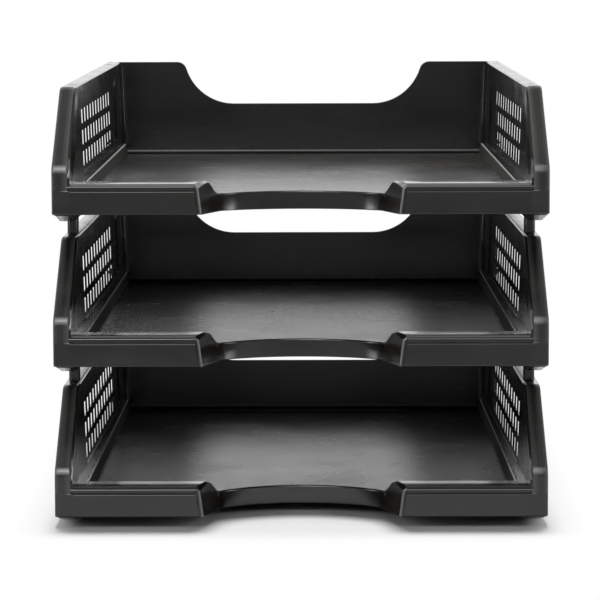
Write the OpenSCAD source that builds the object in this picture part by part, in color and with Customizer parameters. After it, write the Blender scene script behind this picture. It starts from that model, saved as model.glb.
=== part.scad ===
// Three-tier document tray: three identical moulded trays that stand on one another
// on plug-in risers. The open front faces -Y and +Z is up. The origin is on the table,
// under the middle of the stack.

/* [Tray] */
// Width across the front face
tray_w = 255; // [240:1:320]
// Width across the back face, where the sides have drawn in
back_w = 240; // [215:1:255]
// Depth from the front face to the back face
tray_d = 327; // [290:1:420]
// Height of one tray from its feet to the top of its walls
tray_h = 69; // [62:1:95]
// Thickness of the moulded walls
wall = 2; // [1.6:0.1:2.6]

/* [Floor and feet] */
// Height of the feet below the lower edge of the tray
foot_h = 5.3; // [4:0.1:8]
// Length of each foot
foot_len = 50; // [36:1:70]
// Distance of a foot from the front or back face
foot_end = 24; // [12:1:30]
// Width of the flat sole of a foot
sole_w = 7; // [6.4:0.1:9]
// Shift of the sole's middle in from the risers
sole_shift = 0.6; // [0:0.1:1]
// Height of the floor above the lower edge
floor_rise = 8.3; // [7:0.1:11]
// Height of the side ledges above the floor
ledge_rise = 6; // [4:0.1:8]
// Width of a ledge inside the side wall, at the front
ledge_w_front = 3.1; // [0.5:0.1:8]
// Width of a ledge inside the side wall, at the back
ledge_w_back = 0.3; // [0.2:0.1:8]
// Width of the slope from a ledge down to the floor
step_run = 2.2; // [1:0.1:5]

/* [Front lip] */
// Height of the flat front face above the lower edge
lip_face = 12.6; // [11:0.1:16]
// Radius of the bead along the lip's upper edge
bead_r = 1.1; // [0.8:0.1:1.6]
// Rise of the lip's top from the bead to its back edge
lip_crown = 1.1; // [0.2:0.1:2]
// Depth of the lip's top
lip_top = 15; // [8:0.5:20]
// Depth of the slope from the lip's top to the floor
lip_slope = 14; // [8:0.5:20]

/* [Finger recess] */
// Width of the recess at the front face
recess_w = 103.4; // [70:0.2:130]
// Depth of the recess at its middle
recess_d = 50; // [40:1:70]
// Radius of the recess's curved back
recess_r = 60; // [56:1:90]
// Angle at which the cheeks draw in
cheek_angle = 16; // [5:1:20]
// Drop of the recess's skirt below the lower edge
recess_drop = 1.5; // [0.5:0.1:3]

/* [Side walls] */
// Height of the upright front edge above the lower edge
bend_rise = 24; // [21:0.5:34]
// Depth of the sloping front edge
slope_run = 39; // [25:1:50]
// Radius of the bend between the upright and the sloping edge
bend_r = 8; // [3:0.5:14]
// Radius of the corner between the sloping edge and the top
corner_r = 7; // [3:0.5:12]
// Width of the rim that turns outwards at the top of a side wall
rim_w = 8.3; // [7.4:0.1:12]
// Lean of the rim's outer face from the bend in to the top
rim_draft = 1; // [0:0.1:2]
// Lean of a side wall from the rim in to the ledge
web_lean = 1.8; // [0.5:0.1:4]

/* [Window field] */
// Distance of the thin field behind the front risers
field_gap_front = 6; // [4:1:30]
// Distance of the thin field before the back risers
field_gap_back = 8; // [4:1:30]
// Thickness of the wall in the field
field_wall = 0.7; // [0.5:0.1:1.2]
// Margin of the field to the ledge and to the rim's top
field_margin = 2.8; // [2.2:0.1:5]
// Number of window columns
window_columns = 11; // [4:1:16]
// Number of window rows
window_rows = 3; // [1:1:4]
// Distance of the first window from the field's front end
window_front = 6.7; // [2:0.1:15]
// Distance of the last window from the field's back end
window_back = 31; // [2:0.5:40]
// Height of the lowest window above the ledge
window_low = 5.9; // [4:0.1:10]
// Depth of the highest window below the top
window_high = 13.6; // [8:0.1:20]
// Width of the upright bars between windows
bar_w = 2; // [1:0.1:4]
// Height of the level bars between window rows
rail_h = 3.6; // [2:0.1:6]

/* [Back wall] */
// Width of the notch's level floor
notch_w = 84; // [40:1:120]
// Depth of the notch below the top
notch_drop = 25.2; // [12:0.2:34]
// Radius of the notch's lower curves
notch_r = 30; // [20:1:50]
// Radius of the notch's upper corners
notch_corner_r = 6; // [2:0.5:12]

/* [Risers] */
// Height of the risers between two trays
riser_h = 9.5; // [6:0.5:30]
// Width of a riser's post
post_w = 5.8; // [5:0.1:6.6]
// Chamfer on a post's corners
post_chamfer = 1.2; // [0.4:0.1:1.5]
// Diameter of a riser's pegs
peg_d = 3.6; // [3:0.1:3.8]
// Length of a riser's pegs
peg_len = 5; // [3:0.5:6]
// Clearance round a peg that stays in its hole
peg_fit = 0.1; // [0.05:0.05:0.2]
// Clearance round a peg that lifts out of its socket
socket_fit = 0.3; // [0.2:0.05:0.4]
// Clearance past the end of a peg
peg_end_gap = 0.5; // [0.3:0.1:1]
// Wall round a peg hole
boss_wall = 0.9; // [0.7:0.1:1]
// Shift of the risers in from the middle of the rim's top
riser_shift = 0.55; // [0:0.05:0.8]
// Distance of a front riser from the front end of its foot
riser_front_set = 32; // [24:1:44]
// Distance of a back riser from the back end of its foot
riser_back_set = 14; // [6:1:40]

/* [Hidden] */
$fn = 48;

black_plastic = "#1c1c1e";
riser_black = "#161618";

front_y = -tray_d / 2;
tier_pitch = tray_h + riser_h;
edge_z = foot_h;
floor_z = edge_z + floor_rise;
ledge_z = floor_z + ledge_rise;
bend_z = edge_z + bend_rise;
side_taper = atan((tray_w - back_w) / 2 / tray_d);
slope_angle = atan2(tray_h - bend_z, slope_run);
rim_angle = atan(rim_draft / (tray_h - bend_z));
web_top = rim_w + rim_draft;
ledge_front = web_top + web_lean + ledge_w_front;
ledge_back = web_top + web_lean + ledge_w_back;
web_angle = atan(web_lean / (tray_h - ledge_z));
lip_depth = lip_top + lip_slope;
lip_face_z = edge_z + lip_face;
bead_groove = bead_r / 3;
bead_z = lip_face_z + bead_groove + bead_r;
bead_y = bead_r + bead_groove;
riser_inset = rim_draft + rim_w / 2 + riser_shift;
riser_front = foot_end + riser_front_set;
riser_back = foot_end + riser_back_set;
foot_slant = riser_inset + sole_shift - sole_w / 2;
foot_edge = wall / 4;
field_front = riser_front + field_gap_front;
field_back = riser_back + field_gap_back;
hole_d = peg_d + 2 * peg_fit;
socket_d = peg_d + 2 * socket_fit;
hole_depth = peg_len + peg_end_gap;
// Reach of a cutting body past the face that it cuts
past = 1;

// Half width between the outer faces, at a distance back from the front face
function outer_half(back) = tray_w / 2 - back * (tray_w - back_w) / 2 / tray_d;

// Points of a closed outline whose corners, given as [x, y, radius], are rounded
function rounded(corners, steps = 6) = [
    for (i = [0 : len(corners) - 1])
        let (
            count = len(corners),
            here = [corners[i][0], corners[i][1]],
            last = corners[(i + count - 1) % count],
            next = corners[(i + 1) % count],
            to_last = [last[0], last[1]] - here,
            to_next = [next[0], next[1]] - here,
            u = to_last / norm(to_last),
            v = to_next / norm(to_next),
            half = acos(u * v) / 2,
            r = corners[i][2],
            centre = here + (u + v) / norm(u + v) * r / sin(half),
            from = here + u * r / tan(half) - centre,
            to = here + v * r / tan(half) - centre,
            start = atan2(from[1], from[0]),
            turn = atan2(from[0] * to[1] - from[1] * to[0], from * to)
        )
        each r == 0 ? [here] : [
            for (k = [0 : steps])
                centre + r * [cos(start + turn * k / steps), sin(start + turn * k / steps)]
        ]
];

// Carries an outline drawn as [distance back, height] across the tray
module across(width) {
    translate([-width / 2, front_y, 0])
        rotate([90, 0, 90])
            linear_extrude(width)
                children();
}

// Carries a section, drawn as [distance outwards, height], along the right-hand outer face
module along_side(start, end) {
    translate([tray_w / 2, front_y, 0])
        rotate([0, 0, side_taper])
            translate([0, end, 0])
                rotate([90, 0, 0])
                    linear_extrude(end - start)
                        children();
}

// Right-hand frame of the leaning wall's inner face, from its top edge: x outwards
module at_web() {
    translate([tray_w / 2 - web_top, front_y, tray_h])
        rotate([0, 0, side_taper])
            rotate([0, web_angle, 0])
                children();
}

// Draws a right-hand piece and its mirror image
module both_sides() {
    children();
    mirror([1, 0, 0])
        children();
}

// Outline of a side wall seen from the side, drawn in by an inset and open downwards
module side_outline(inset, low) {
    front_bend = bend_z - inset * tan((90 - slope_angle) / 2);
    top_front = slope_run + inset * tan(slope_angle / 2);
    polygon(rounded([
        [inset, low, 0],
        [inset, front_bend, bend_r - inset],
        [top_front, tray_h - inset, corner_r - inset],
        [tray_d - inset, tray_h - inset, 0],
        [tray_d - inset, low, 0],
    ]));
}

// Rim round the front, slope, top and back of the right-hand wall. Its outer face is
// upright up to the bend, and leans in above it. Its inner edge follows the leaning wall.
module rim() {
    lean_in = rim_draft * (tray_h + past - bend_z) / (tray_h - bend_z);
    rim_low = web_top + web_lean - wall / 2;
    rim_high = web_top - (rim_low - web_top) * past / (tray_h - ledge_z);
    intersection() {
        across(tray_w)
            difference() {
                side_outline(0, edge_z);
                side_outline(wall, edge_z - past);
            }
        along_side(-past, tray_d + past)
            polygon([
                [0, edge_z - past],
                [0, bend_z],
                [-lean_in, tray_h + past],
                [-rim_high, tray_h + past],
                [-rim_low, ledge_z],
                [-rim_low, edge_z - past],
            ]);
    }
}

// Leaning right-hand wall with its thin field and windows
module web() {
    web_len = (tray_h - ledge_z + wall / 2) / cos(web_angle);
    field_len = tray_d - field_front - field_back;
    field_low = ledge_z - tray_h + field_margin;
    field_top = -wall - field_margin;
    skin = (wall - field_wall) / 2;
    pitch = (field_len - window_front - window_back) / window_columns;
    rows_h = tray_h - ledge_z - window_low - window_high;
    window_h = (rows_h + rail_h) / window_rows - rail_h;
    difference() {
        intersection() {
            across(tray_w)
                side_outline(wall / 2, edge_z);
            at_web()
                translate([0, 0, -web_len])
                    cube([wall, tray_d, web_len]);
        }
        at_web() {
            for (x = [-past, wall - skin])
                translate([x, field_front, field_low])
                    cube([skin + past, field_len, field_top - field_low]);
            for (column = [0 : window_columns - 1], row = [0 : window_rows - 1])
                translate([
                    -past,
                    field_front + window_front + pitch * column + bar_w / 2,
                    ledge_z - tray_h + window_low + (window_h + rail_h) * row,
                ])
                    cube([wall + 2 * past, pitch - bar_w, window_h]);
        }
    }
}

// Right-hand base: outer skirt, ledge, and the slope from the ledge into the floor plate
module side_base() {
    ledge_taper = atan(((tray_w - back_w) / 2 + ledge_back - ledge_front) / tray_d);
    slope_foot = floor_z - wall / 2;
    foot_run = step_run * (ledge_z - slope_foot) / ledge_rise;
    intersection() {
        across(tray_w)
            side_outline(0, edge_z);
        along_side(-past, tray_d + past)
            polygon([
                [0, edge_z - past],
                [0, ledge_z - wall / 2],
                [-wall, ledge_z - wall / 2],
                [-wall, edge_z - past],
            ]);
    }
    intersection() {
        translate([tray_w / 2 - ledge_front, front_y, 0])
            rotate([0, 0, ledge_taper])
                translate([0, tray_d - wall / 2, 0])
                    rotate([90, 0, 0])
                        linear_extrude(tray_d - wall / 2 - bead_y)
                            polygon([
                                [0, ledge_z],
                                [-foot_run, slope_foot],
                                [wall - step_run, slope_foot],
                                [wall, ledge_z - wall],
                                [tray_w, ledge_z - wall],
                                [tray_w, ledge_z],
                            ]);
        along_side(-past, tray_d + past)
            polygon([[0, edge_z], [0, tray_h], [-tray_w / 2, tray_h], [-tray_w / 2, edge_z]]);
    }
}

// Floor plate, which ends under the two slopes
module floor_plate() {
    front_half = tray_w / 2 - ledge_front - step_run + wall / 2;
    back_half = back_w / 2 - ledge_back - step_run + wall / 2;
    translate([0, 0, floor_z - wall])
        linear_extrude(wall)
            polygon([
                [-front_half, front_y + lip_top],
                [front_half, front_y + lip_top],
                [back_half, -front_y - wall / 2],
                [-back_half, -front_y - wall / 2],
            ]);
}

// Outline of the lip in section, with the floor behind it, down to the lower edge.
// The lower edge falls by a drop towards the end.
module lip_section(end, drop) {
    polygon([
        [0, edge_z],
        [0, lip_face_z],
        [bead_groove, lip_face_z],
        [bead_y, bead_z],
        [bead_y, bead_z + bead_r],
        [lip_top, bead_z + bead_r + lip_crown],
        [lip_depth, floor_z],
        [end, floor_z],
        [end, edge_z - drop],
    ]);
}

// Hollow front lip with the bead along its upper edge
module lip() {
    across(tray_w - 2 * (web_top + web_lean) + wall)
        difference() {
            lip_section(lip_depth + wall, 0);
            polygon([
                [wall, edge_z - past],
                [wall, lip_face_z - wall / 2],
                [bead_y + wall, bead_z + bead_r - wall],
                [lip_top, bead_z + bead_r + lip_crown - wall],
                [lip_depth - wall / 2, floor_z - wall],
                [lip_depth + wall + past, floor_z - wall],
                [lip_depth + wall + past, edge_z - past],
            ]);
        }
    across(tray_w - 2 * rim_w + wall)
        translate([bead_y, bead_z])
            circle(bead_r);
    across(tray_w - rim_w)
        translate([0, edge_z])
            square([wall, lip_face]);
}

// Plan of the finger recess, grown outwards by a wall
module recess_plan(grow) {
    draw_in = tan(cheek_angle);
    mouth = recess_w / 2 + grow / cos(cheek_angle);
    reach = recess_d + grow + past;
    translate([0, front_y])
        intersection() {
            polygon([
                [-mouth - past * draw_in, -past],
                [mouth + past * draw_in, -past],
                [mouth - reach * draw_in, reach],
                [-mouth + reach * draw_in, reach],
            ]);
            translate([0, recess_d - recess_r])
                circle(recess_r + grow, $fn = 96);
        }
}

// Cheeks and back skirt of the finger recess
module recess_wall() {
    intersection() {
        linear_extrude(tray_h)
            difference() {
                recess_plan(wall);
                recess_plan(0);
            }
        across(tray_w)
            lip_section(recess_d + wall + past, recess_drop);
    }
}

// Back wall between the rims, with its notch: on each side a hollow curve runs up from the
// notch's floor into a round upper corner, and the arcs touch where their centres line up
module back_wall() {
    half = notch_w / 2;
    low = tray_h - notch_drop;
    reach = notch_r + notch_corner_r;
    rise = reach - notch_drop;
    shift = sqrt(reach * reach - rise * rise);
    lean = atan2(shift, rise);
    steps = 8;
    half_plate = (back_w - rim_w) / 2 - rim_draft;
    notch = concat(
        [for (k = [0 : steps])
            [half, low + notch_r] + notch_r * [sin(lean * k / steps), -cos(lean * k / steps)]],
        [for (k = [steps - 1 : -1 : 0])
            [half + shift, tray_h - notch_corner_r]
                + notch_corner_r * [-sin(lean * k / steps), cos(lean * k / steps)]]
    );
    translate([0, -front_y, 0])
        rotate([90, 0, 0])
            linear_extrude(wall)
                polygon(concat(
                    [[half_plate, edge_z], [half_plate, tray_h]],
                    [for (k = [len(notch) - 1 : -1 : 0]) notch[k]],
                    [for (point = notch) [-point[0], point[1]]],
                    [[-half_plate, tray_h], [-half_plate, edge_z]]
                ));
}

// Places a piece at the right-hand riser places, front and back
module at_risers() {
    for (back = [riser_front, tray_d - riser_back])
        translate([outer_half(back) - riser_inset, front_y + back, 0])
            children();
}

// Right-hand feet, and the bosses that hold the pegs
module feet() {
    for (start = [foot_end, tray_d - foot_end - foot_len])
        along_side(start, start + foot_len)
            polygon([
                [-foot_edge, edge_z + wall],
                [-foot_edge, edge_z],
                [-foot_slant, 0],
                [-foot_slant - sole_w, 0],
                [-foot_slant - sole_w - wall / 2, edge_z + wall],
            ]);
    at_risers()
        translate([0, 0, edge_z])
            cylinder(h = ledge_z - edge_z - wall / 2, d = socket_d + 2 * boss_wall);
    at_risers()
        translate([0, 0, tray_h - hole_depth - wall])
            cylinder(h = hole_depth + wall / 2, d = hole_d + 2 * boss_wall);
}

// Peg holes in the right-hand rim and sockets in the right-hand feet
module peg_holes() {
    at_risers()
        translate([0, 0, tray_h - hole_depth])
            cylinder(h = hole_depth + past, d = hole_d);
    at_risers()
        translate([0, 0, -past])
            cylinder(h = hole_depth + past, d = socket_d);
}

// One tray, standing on the table
module tray() {
    difference() {
        union() {
            difference() {
                union() {
                    floor_plate();
                    lip();
                }
                translate([0, 0, -past])
                    linear_extrude(tray_h)
                        recess_plan(wall / 2);
            }
            recess_wall();
            back_wall();
            both_sides() {
                rim();
                web();
                side_base();
                feet();
            }
        }
        both_sides()
            peg_holes();
    }
}

// Tray of one tier, counted from the table
module tray_of_tier(tier) {
    color(black_plastic)
        translate([0, 0, tier * tier_pitch])
            tray();
}

// Riser that stands on a tier's rim: a chamfered post with a peg at each end
module riser(tier, side, back) {
    half = post_w / 2;
    cut = half - post_chamfer;
    color(riser_black)
        translate([side * (outer_half(back) - riser_inset), front_y + back, tier * tier_pitch + tray_h]) {
            linear_extrude(riser_h)
                polygon([
                    [-half, -cut], [-cut, -half], [cut, -half], [half, -cut],
                    [half, cut], [cut, half], [-cut, half], [-half, cut],
                ]);
            translate([0, 0, -peg_len])
                cylinder(h = riser_h + 2 * peg_len, d = peg_d);
        }
}

tray_of_tier(0);  // bottom_tray
tray_of_tier(1);  // middle_tray
tray_of_tier(2);  // top_tray
riser(0, -1, riser_front);  // lower_riser_front_left
riser(0, 1, riser_front);  // lower_riser_front_right
riser(0, -1, tray_d - riser_back);  // lower_riser_back_left
riser(0, 1, tray_d - riser_back);  // lower_riser_back_right
riser(1, -1, riser_front);  // upper_riser_front_left
riser(1, 1, riser_front);  // upper_riser_front_right
riser(1, -1, tray_d - riser_back);  // upper_riser_back_left
riser(1, 1, tray_d - riser_back);  // upper_riser_back_right
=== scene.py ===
"""Looks of a three-tier document tray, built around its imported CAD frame.

Lengths are millimetres until a mesh is put into Blender in metres. In a tray's own frame x is
across, y runs back from the front face and z is up from its soles. Right-hand pieces are worked
out and the left-hand ones are their mirror images.
"""
import logging
from dataclasses import dataclass, field
from enum import Enum
from math import pi, radians, sqrt, tan

import bmesh
import bpy
import numpy as np
from mathutils import Matrix, Vector


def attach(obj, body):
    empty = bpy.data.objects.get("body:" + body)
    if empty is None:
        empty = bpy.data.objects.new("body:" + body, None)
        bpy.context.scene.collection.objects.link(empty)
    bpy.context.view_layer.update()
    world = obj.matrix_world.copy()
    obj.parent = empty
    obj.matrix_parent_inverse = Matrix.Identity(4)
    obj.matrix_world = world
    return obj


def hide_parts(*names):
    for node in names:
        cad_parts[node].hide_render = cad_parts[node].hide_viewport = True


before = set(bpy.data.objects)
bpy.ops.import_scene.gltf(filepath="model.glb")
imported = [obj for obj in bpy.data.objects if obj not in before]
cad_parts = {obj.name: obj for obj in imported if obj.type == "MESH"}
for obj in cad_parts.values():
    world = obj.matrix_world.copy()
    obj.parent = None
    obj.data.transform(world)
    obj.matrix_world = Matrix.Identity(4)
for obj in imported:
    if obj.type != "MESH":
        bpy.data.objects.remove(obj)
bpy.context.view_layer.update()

Array = np.ndarray
Pair = tuple[float, float]
Triple = tuple[float, float, float]
Socket = bpy.types.NodeSocket
LOG = logging.getLogger("document_tray")
MM = 0.001
# Small overlap that keeps neighbouring pieces from sharing a face
HAIR = 0.03


class Side(Enum):
    """Which side of the tray a piece is on; the value is the sign of its x."""

    RIGHT = 1.0
    LEFT = -1.0


class Tier(Enum):
    """One tray of the stack; the value is its place counted from the ground."""

    BOTTOM = 0
    MIDDLE = 1
    TOP = 2

    @property
    def label(self) -> str:
        """Returns: the tier's name in the frame, in small letters."""
        return self.name.lower()


def read_off(table: tuple[Pair, ...], places: Array) -> Array:
    """Args: table of places and values, and places. Returns: the values there, straight between rows."""
    return np.interp(places, *np.array(table).T)


def spokes(angles: Array) -> Array:
    """Args: angles. Returns: unit vectors in their directions."""
    return np.stack([np.cos(angles), np.sin(angles)], axis=-1)


def side_by_side(*values: Array | float) -> Array:
    """Args: values that spread over each other. Returns: all of them along a new last axis."""
    return np.stack(np.broadcast_arrays(*values), axis=-1)


def sections(*corners: tuple[Array | float, Array | float]) -> Array:
    """Gathers corners into one polygon for each place along a path.

    Args:
        corners: the two coordinates of each corner, as an array over the places or one number.
    Returns: polygons as (places, corners, 2).
    """
    values = side_by_side(*(value for corner in corners for value in corner))
    return values.reshape(-1, len(corners), 2)


@dataclass(frozen=True)
class TraySizes:
    """Sizes of one tray and of the stack.

    The main sizes are those of the part's source. Only here, the ledges are 1 mm wider with a
    steeper slope, the recess's cheeks lean, and the lip has a softer profile, which gives y and z
    of its upper side from the face to the floor.
    """

    width: float = 255.0
    back_width: float = 240.0
    depth: float = 327.0
    height: float = 69.0
    pitch: float = 78.5
    wall: float = 2.0
    edge_z: float = 5.3
    floor_z: float = 13.6
    ledge_z: float = 19.6
    bend_z: float = 29.3
    draw_in: float = 1.0
    side_end: float = 326.0
    slope_run: float = 39.0
    bend_r: float = 8.0
    corner_r: float = 7.0
    web_top: float = 9.3
    web_lean: float = 1.8
    ledge_front: float = 112.3
    ledge_taper: float = 4.7
    step_run: float = 1.1
    recess_half: float = 51.7
    cheek_slope: float = 0.2867
    cheek_lean: float = 0.14
    cheek_z: float = 12.3
    recess_r: float = 60.0
    recess_depth: float = 50.0
    riser_front: float = 56.0
    riser_back: float = 289.0
    riser_inset: float = 5.7
    lip_profile: tuple[Pair, ...] = (
        (0.0, 20.0), (0.3, 20.45), (0.9, 20.8), (1.9, 20.97), (3.2, 21.02), (4.3, 21.06), (7.6, 21.22),
        (10.6, 21.29), (16.7, 21.295), (17.5, 21.2), (18.4, 20.88), (19.4, 20.35), (25.0, 16.5),
        (26.4, 15.62), (28.0, 14.87), (30.0, 14.3), (32.5, 13.93), (35.5, 13.7), (39.0, 13.6))

    def half(self, y: Array | float) -> Array | float:
        """Args: y, distances back. Returns: half the outer width there, a straight taper."""
        return self.width / 2 - y * (self.width - self.back_width) / 2 / self.depth

    def outer(self, y: Array, z: Array) -> Array:
        """Half width of the outer face, which is drawn in evenly from the bend to the top.

        Args:
            y: distances back from the front face.
            z: heights over the soles.
        Returns: x of the right-hand outer face.
        """
        rise = np.clip((z - self.bend_z) / (self.height - self.bend_z), 0.0, 1.0)
        return self.half(y) - self.draw_in * rise

    def web(self, y: Array | float, z: Array) -> Array:
        """Inner face of the side wall, parallel to the outer face in plan and leaning in.

        Args:
            y: distances back from the front face.
            z: heights over the soles; below the ledge the wall goes straight down.
        Returns: x of the right-hand wall's inner face.
        """
        fall = (self.height - np.clip(z, self.ledge_z, None)) / (self.height - self.ledge_z)
        return self.half(y) - self.web_top - self.web_lean * fall

    def web_edge(self, y: Array) -> Array:
        """Args: y, distances back. Returns: x of the wall's inner face along its free edge."""
        return self.half(y) - self.web_top

    def cheek(self, y: Array, z: Array) -> Array:
        """Args: y, z, places on the recess's cheek. Returns: x of the cheek, which leans outwards."""
        return self.recess_half - self.cheek_slope * y + self.cheek_lean * (z - self.cheek_z)

    def ledge(self, y: Array) -> Array:
        """Args: y, distances back. Returns: x of the ledge's inner edge."""
        return self.ledge_front - y * self.ledge_taper / self.depth

    def lip_height(self, y: Array) -> Array:
        """Args: y, distances back. Returns: height of the lip's or the floor's upper side."""
        return read_off(self.lip_profile, y)

    def riser_spot(self, y: float) -> Pair:
        """Args: y, a riser's place. Returns: x and y of the right-hand riser's axis."""
        return self.half(y) - self.riser_inset, y


SIZES = TraySizes()


def rounded(corners: Array, radii: Array, steps: int = 5) -> Array:
    """Rounds the corners of closed polygons, all at once.

    With unit vectors u and v from a corner to its neighbours, the arc's centre lies on their
    bisector at r over the sine of half the angle; the arc runs between the two tangent points.

    Args:
        corners: polygons as (count, corners, 2).
        radii: one radius for each corner, spread over (count, corners).
        steps: parts of each arc.
    Returns: points as (count, corners * (steps + 1), 2).
    """
    radii = np.maximum(np.broadcast_to(radii, corners.shape[:2]), 1e-3)
    last = np.roll(corners, 1, axis=1) - corners
    following = np.roll(corners, -1, axis=1) - corners
    u = last / np.linalg.norm(last, axis=-1, keepdims=True)
    v = following / np.linalg.norm(following, axis=-1, keepdims=True)
    half = np.arccos(np.clip((u * v).sum(-1), -1.0, 1.0)) / 2
    bisector = u + v
    bisector /= np.maximum(np.linalg.norm(bisector, axis=-1, keepdims=True), 1e-9)
    centre = corners + bisector * (radii / np.sin(half))[..., None]
    reach = (radii / np.tan(half))[..., None]
    a = corners + u * reach - centre
    b = corners + v * reach - centre
    turn = np.arctan2(a[..., 0] * b[..., 1] - a[..., 1] * b[..., 0], (a * b).sum(-1))
    angle = np.arctan2(a[..., 1], a[..., 0])[..., None] + turn[..., None] * np.linspace(0, 1, steps + 1)
    arc = spokes(angle) * radii[..., None, None]
    return (centre[..., None, :] + arc).reshape(corners.shape[0], -1, 2)


def end_rounding(distance: Array, radius: float) -> Array:
    """Inset of a rounded end: r minus the root of r squared less (r - d) squared, within r.

    Args:
        distance: distances from the end.
        radius: radius of the rounding.
    Returns: how far a section is drawn in at each distance.
    """
    rest = np.clip(radius - distance, 0.0, radius)
    return radius - np.sqrt(radius * radius - rest * rest)


@dataclass
class Shell:
    """A closed mesh as arrays: points in millimetres, faces as point numbers, and a value per point.

    The value is nought as moulded, one where a pale colour is painted on as a highlight, and minus one
    where the surface is matt.
    """

    points: Array
    faces: list[list[int]]
    worn: Array

    @classmethod
    def loft(cls, rings: Array, worn: Array | float = 0.0) -> "Shell":
        """Joins closed rings in order by quads, closes both ends and turns the faces outwards.

        The faces are turned round if the volume they hold, a sum of determinants, is negative.

        Args:
            rings: points as (rings, points of a ring, 3).
            worn: each point's painted highlight and mattness, spread over (rings, points of a ring).
        Returns: the closed shell.
        """
        count, size = rings.shape[:2]
        i, j = np.arange(count - 1)[:, None] * size, np.arange(size)[None, :]
        k = (j + 1) % size
        quads = np.stack([i + j, i + k, i + size + k, i + size + j], axis=-1).reshape(-1, 4)
        ends = np.stack([np.arange(size)[::-1], np.arange((count - 1) * size, count * size)])
        points = rings.reshape(-1, 3)
        fans = np.stack([np.broadcast_to(ends[:, :1], ends[:, 2:].shape), ends[:, 1:-1], ends[:, 2:]], -1)
        corners = points[np.concatenate([quads[:, :3], quads[:, [0, 2, 3]], fans.reshape(-1, 3)])]
        volume = np.linalg.det(corners - points.mean(axis=0)).sum()
        if volume < 0:
            quads, ends = quads[:, ::-1], ends[:, ::-1]
        return cls(points, quads.tolist() + ends.tolist(), np.broadcast_to(worn, (count, size)).ravel())

    def __add__(self, other: "Shell") -> "Shell":
        """Args: other, a second shell. Returns: both as one mesh of separate shells."""
        start = len(self.points)
        moved = [[start + number for number in face] for face in other.faces]
        return Shell(np.concatenate([self.points, other.points]), self.faces + moved,
                     np.concatenate([self.worn, other.worn]))

    def on(self, side: Side) -> "Shell":
        """Args: side, where the shell goes. Returns: the shell there, mirrored for the left."""
        turned = self.faces if side is Side.RIGHT else [face[::-1] for face in self.faces]
        return Shell(self.points * np.array([side.value, 1.0, 1.0]), turned, self.worn)

    def both(self) -> "Shell":
        """Returns: the shell and its mirror image."""
        return self.on(Side.RIGHT) + self.on(Side.LEFT)


@dataclass(frozen=True)
class NodeBench:
    """A node tree with a short way to add nodes and join them."""

    tree: bpy.types.NodeTree

    def add(self, kind: str, inputs: dict[str | int, object] | None = None,
            **settings: object) -> bpy.types.Node:
        """Adds one shader node.

        Args:
            kind: the node's type without its leading ShaderNode.
            inputs: a value, or an output to join on, for each input's name or number.
            settings: the node's own properties, which are set first.
        Returns: the new node.
        """
        node = self.tree.nodes.new("ShaderNode" + kind)
        for label, value in settings.items():
            setattr(node, label, value)
        self.fill(node, inputs or {})
        return node

    def fill(self, node: bpy.types.Node, inputs: dict[str | int, object]) -> None:
        """Sets a node's inputs or joins them.

        Args:
            node: the node.
            inputs: as for add.
        """
        for label, value in inputs.items():
            if isinstance(value, Socket):
                self.tree.links.new(value, node.inputs[label])
            else:
                node.inputs[label].default_value = value

    def noise(self, place: Socket, scale: object, detail: float = 2.0) -> Socket:
        """Args: place, scale and detail of a noise. Returns: its value."""
        return self.add("TexNoise", {"Vector": place, "Scale": scale, "Detail": detail}).outputs["Fac"]

    def math(self, operation: str, *terms: object) -> Socket:
        """Args: operation, and its terms as values or outputs. Returns: the result."""
        return self.add("Math", dict(enumerate(terms)), operation=operation).outputs[0]

    def vector(self, operation: str, *terms: object) -> bpy.types.Node:
        """Args: operation, and its terms as vectors or outputs. Returns: the node."""
        return self.add("VectorMath", dict(enumerate(terms)), operation=operation)

    def mix(self, share: Socket, a: object, b: object, kind: str = "FLOAT") -> Socket:
        """Args: share of b, the two values and their kind. Returns: the mixed value."""
        return self.add("Mix", {"Factor": share, "A": a, "B": b}, data_type=kind).outputs["Result"]

    def ranged(self, value: Socket, source: Pair, target: Pair = (0.0, 1.0),
               smooth: bool = False) -> Socket:
        """Maps a value from one range to another and holds it there.

        Args:
            value: the value to map.
            source: the range it comes from.
            target: the range it goes to.
            smooth: whether the ends are eased.
        Returns: the mapped value.
        """
        ends = dict(zip(("From Min", "From Max", "To Min", "To Max"), (*source, *target)))
        kind = "SMOOTHSTEP" if smooth else "LINEAR"
        return self.add("MapRange", {"Value": value, **ends}, interpolation_type=kind).outputs["Result"]


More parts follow.
